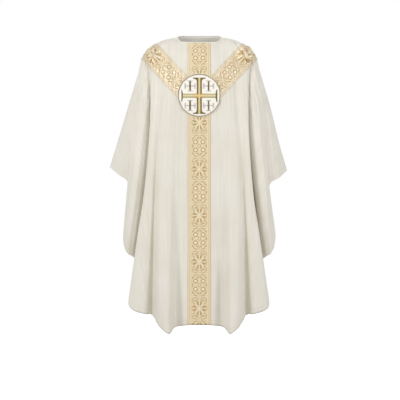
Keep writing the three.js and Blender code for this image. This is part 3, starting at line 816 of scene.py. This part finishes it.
# ---- Embroidered crosses ------------------------------------------------------------------------------
# The great cross and the four small ones are machine embroidery in satin stitch over padding, so
# each bar stands up as a rounded ridge of threads laid side by side across it.

STITCH_LIFT = GROUND_LIFT + 0.0009
THREAD_SPACING = 0.0011
PAD_HEIGHT = 0.0014
PAD_PROFILE = [(0.0003, 0.55), (0.0008, 0.35), (0.0010, 0.10)]  # steps inward, and shares of the height
PAD_CUTS = 0.005  # between the points that let a pad follow the cloth


def thread_material(name, light_hex, dark_hex, metallic):
    """Rayon embroidery thread in satin stitch: its colour is painted bright along each thread, a painted
    highlight where the threads would turn to the light, with painted shade in a fine line between threads,
    which are really 0.4 mm apart and are drawn 1.1 mm apart."""
    material, tree = new_material(name)
    laid = add(tree, "UVMap", uv_map="stitch")
    threads = add(tree, "TexWave", {"Vector": laid, "Scale": wave_scale(THREAD_SPACING), "Distortion": 0.4},
                  wave_type="BANDS", bands_direction="Y")
    tone = add(tree, "Mix", {"Factor": threads.outputs[1], 6: linear(dark_hex), 7: linear(light_hex)},
               data_type="RGBA")
    bump = add(tree, "Bump", {"Height": threads.outputs[1], "Strength": 0.5, "Distance": 0.0004})
    surface = add(tree, "BsdfPrincipled", {
        "Base Color": tone.outputs[2], "Roughness": 0.38, "Metallic": metallic, "Normal": bump,
    })
    add(tree, "OutputMaterial", {"Surface": surface})
    return material


gold_thread = thread_material("Gold rayon thread", "#F4E3AE", "#DDBF78", 0.1)
orange_thread = thread_material("Burnt orange rayon thread", "#D09A4A", "#B07A30", 0.1)
olive_thread = thread_material("Light olive rayon thread", "#C2B67E", "#A99C62", 0.1)
bronze_thread = thread_material("Bronze green rayon thread", "#83713A", "#5E5122", 0.1)
pale_thread = thread_material("Pale gold rayon thread", "#E9DDB4", "#D3C490", 0.1)
silver_thread = thread_material("Silver grey rayon thread", "#D3CED1", "#BBB6B8", 0.1)


def stitch_pad(target, outline, material_index, upright):
    """Adds one satin-stitched bar to target: an outline in (x, z) with a rounded top."""
    bar = bmesh.new()
    bar.faces.new([bar.verts.new((x, 0, z)) for x, z in outline])
    for axis in (0, 2):
        low = min(v.co[axis] for v in bar.verts)
        high = max(v.co[axis] for v in bar.verts)
        for place in np.arange(low + PAD_CUTS, high - 0.001, PAD_CUTS):
            at = [0, 0, 0]
            at[axis] = place
            way = [0, 0, 0]
            way[axis] = 1
            whole = bar.verts[:] + bar.edges[:] + bar.faces[:]
            bmesh.ops.bisect_plane(bar, geom=whole, plane_co=at, plane_no=way)
    bmesh.ops.recalc_face_normals(bar, faces=bar.faces)
    if sum(f.normal.y for f in bar.faces) > 0:
        bmesh.ops.reverse_faces(bar, faces=bar.faces)
    for thickness, depth in PAD_PROFILE:
        bmesh.ops.inset_region(bar, faces=bar.faces[:], thickness=thickness,
                               depth=depth * PAD_HEIGHT, use_even_offset=True, use_boundary=True)
    made = {}
    for vert in bar.verts:
        made[vert] = target.verts.new(on_front(vert.co.x, vert.co.z, STITCH_LIFT - vert.co.y))
    layer = target.loops.layers.uv.verify()
    for face in bar.faces:
        new = target.faces.new([made[v] for v in face.verts])
        new.material_index = material_index
        for loop, old in zip(new.loops, face.loops):
            x, z = old.vert.co.x, old.vert.co.z
            loop[layer].uv = (x, z) if upright else (z, x)
    bar.free()


def box_outline(x0, z0, x1, z1):
    return [(x0, z0), (x1, z0), (x1, z1), (x0, z1)]


def embroidery(name, bars, materials, stands_for):
    target = bmesh.new()
    target.loops.layers.uv.new("stitch")
    for outline, material_index, upright in bars:
        stitch_pad(target, outline, material_index, upright)
    target.normal_update()
    mesh = bpy.data.meshes.new(name)
    target.to_mesh(mesh)
    target.free()
    piece = finish_piece(name, mesh, materials[0], stands_for)
    for extra in materials[1:]:
        mesh.materials.append(extra)
    return piece


# Half sizes of the great cross: its reach, its stem's gold core, and the near and far sides of the
# bronze edge beside the core, which stops at the crossing.
cx, cz = MEDALLION_CENTRE[0], MEDALLION_CENTRE[1] - 0.002
SPAN = 0.078
CORE = 0.0040
EDGE_NEAR = 0.0044
EDGE_FAR = 0.0102
CROSSING = 0.0087
GOLD, BRONZE, PALE, ORANGE, OLIVE = range(5)
# The strips of each side arm: its low and high sides, and its thread near the crossing and beyond.
ARM_STRIPS = [
    (-0.0084, -0.0052, ORANGE, OLIVE),
    (-0.0048, 0.0048, GOLD, PALE),
    (0.0052, 0.0084, ORANGE, OLIVE),
]
bars = []
for side in (-1, 1):
    for end in (1, -1):
        edge = [(EDGE_NEAR, CROSSING), (EDGE_FAR, CROSSING), (EDGE_FAR, 0.060), (0.0112, 0.067),
                (0.0150, 0.0722), (0.0265, 0.0748), (0.0265, SPAN), (EDGE_NEAR, SPAN)]
        bars.append(([(cx + side * x, cz + end * z) for x, z in edge], BRONZE, True))
    low, high = CROSSING - 0.0047, CROSSING - 0.0003
    for end in (1, -1):
        corner = box_outline(cx + side * EDGE_NEAR, cz + end * low, cx + side * EDGE_FAR, cz + end * high)
        bars.append((corner, ORANGE, False))
    middle = box_outline(cx + side * EDGE_NEAR, cz - low + 0.0003, cx + side * EDGE_FAR, cz + low - 0.0003)
    bars.append((middle, GOLD, False))
bars.append((box_outline(cx - CORE, cz - SPAN, cx + CORE, cz + SPAN), GOLD, True))
for side in (-1, 1):
    for low, high, near, far in ARM_STRIPS:
        bars.append((box_outline(cx + side * 0.0107, cz + low, cx + side * 0.0250, cz + high), near, False))
        bars.append((box_outline(cx + side * 0.0254, cz + low, cx + side * 0.0700, cz + high), far, False))
    bracket = [(0.0705, -0.0040), (0.0705, -0.0105), (0.0745, -0.0265), (0.0775, -0.0265), (0.0775, 0.0265),
               (0.0745, 0.0265), (0.0705, 0.0105), (0.0705, 0.0040), (0.0725, 0.0)]
    bars.append(([(cx + side * x, cz + z) for x, z in bracket], BRONZE, True))
great_cross_threads = [gold_thread, bronze_thread, pale_thread, orange_thread, olive_thread]
embroidery("great_cross_stitching", bars, great_cross_threads, "great_cross")

# A small cross is a bronze stem and silver arms, with a short silver bar across each of its ends.
OFFSET = 0.040
OFFSET_UP = 0.0425
STEM_THREAD, ARM_THREAD = range(2)
for upper, dz in (("upper", 1), ("lower", -1)):
    for side, dx in (("left", -1), ("right", 1)):
        x, z = cx + dx * OFFSET, cz + dz * OFFSET_UP
        bars = [(box_outline(x - 0.0029, z - 0.0205, x + 0.0029, z + 0.0205), STEM_THREAD, True)]
        for s in (-1, 1):
            arm = box_outline(x + s * 0.0035, z - 0.0018, x + s * 0.0190, z + 0.0018)
            side_end = box_outline(x + s * 0.0192, z - 0.0110, x + s * 0.0225, z + 0.0110)
            stem_end = box_outline(x - 0.0100, z + s * 0.0209, x + 0.0100, z + s * 0.0232)
            bars += [(arm, ARM_THREAD, False), (side_end, ARM_THREAD, True), (stem_end, ARM_THREAD, False)]
        embroidery(f"{upper}_{side}_small_cross_stitching", bars, [bronze_thread, silver_thread],
                   f"{upper}_{side}_small_cross")

# ---- Studio -------------------------------------------------------------------------------------------
# A white room with broad soft light, a floor below the hanging garment, and a long lens level with
# its middle.

FLOOR_HEIGHT = -1.56
FLOOR_REACH = 6
SENSOR_WIDTH = 36  # in millimetres, as Blender takes it
TO_GARMENT = 7.9
SEEN_ACROSS = 1.744  # how much width the picture takes in at that distance

white, tree = new_material("White studio floor")
surface = add(tree, "BsdfPrincipled", {
    "Base Color": (1, 1, 1, 1), "Roughness": 0.9, "Emission Color": (1, 1, 1, 1), "Emission Strength": 1.0,
})
add(tree, "OutputMaterial", {"Surface": surface})
floor_mesh = bpy.data.meshes.new("studio_floor")
corners = [(x * FLOOR_REACH, y * FLOOR_REACH, FLOOR_HEIGHT) for x, y in ((-1, -1), (1, -1), (1, 1), (-1, 1))]
floor_mesh.from_pydata(corners, [], [(0, 1, 2, 3)])
floor_mesh.materials.append(white)
floor = bpy.data.objects.new("studio_floor", floor_mesh)
bpy.context.collection.objects.link(floor)
floor.visible_diffuse = False
floor.visible_glossy = False

world = bpy.data.worlds.new("White room")
bpy.context.scene.world = world
world.use_nodes = True
tree = world.node_tree
tree.nodes.clear()
sees = add(tree, "LightPath")
room = add(tree, "Background", {"Color": (1, 0.985, 1.012, 1), "Strength": 0.63})
backdrop = add(tree, "Background", {"Color": (1, 1, 1, 1), "Strength": 1.0})
mixed = add(tree, "MixShader", {0: sees.outputs["Is Camera Ray"], 1: room, 2: backdrop})
add(tree, "OutputWorld", {"Surface": mixed})


def softbox(name, place, target, size, power):
    light = bpy.data.lights.new(name, "AREA")
    light.shape = "RECTANGLE"
    light.size, light.size_y = size
    light.energy = power
    box = bpy.data.objects.new(name, light)
    box.location = place
    box.rotation_euler = (Vector(target) - Vector(place)).to_track_quat("-Z", "Y").to_euler()
    bpy.context.collection.objects.link(box)


softbox("Key softbox", (-3.0, -3.0, 1.5), (0, 0, -0.55), (1.0, 1.4), 77)
softbox("Fill softbox", (3.2, -2.8, 0.6), (0, 0, -0.6), (1.0, 1.4), 48)

camera = bpy.data.objects.new("Camera", bpy.data.cameras.new("Camera"))
camera.data.sensor_width = SENSOR_WIDTH
camera.data.lens = SENSOR_WIDTH * TO_GARMENT / SEEN_ACROSS
camera.location = (0.003, -8.0, -0.715)
camera.rotation_euler = (math.radians(90), 0, 0)
camera.data.clip_end = 50
bpy.context.collection.objects.link(camera)
bpy.context.scene.camera = camera
bpy.context.scene.view_settings.view_transform = "Standard"
